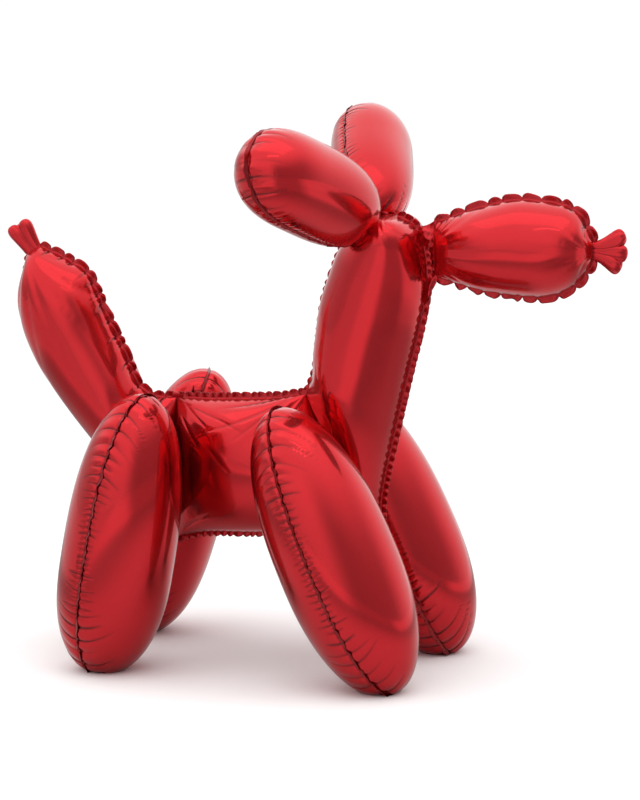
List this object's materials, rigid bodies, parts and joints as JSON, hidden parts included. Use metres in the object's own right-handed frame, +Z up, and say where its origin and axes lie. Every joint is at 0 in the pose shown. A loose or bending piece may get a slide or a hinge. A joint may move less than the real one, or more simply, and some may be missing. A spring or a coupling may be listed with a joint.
{
  "type": "foil dog balloon",
  "caption": "Red mirror-finish foil party balloon shaped like a twisted-balloon dog, standing on its legs, with ears, snout and raised tail.",
  "frame": {"origin": "on the ground, under the middle of the dog's bounding box", "axes": "+X towards the snout, +Y towards the dog's left side, +Z up"},
  "size_m": [0.9016, 0.4806, 0.7716],
  "materials": {
    "red_foil": "mirror-bright metallised film, red lacquered"
  },
  "bodies": {
    "root": {"body": "red_foil", "front_legs": "red_foil", "hind_legs": "red_foil", "ears": "red_foil"}
  },
  "joints": []
}
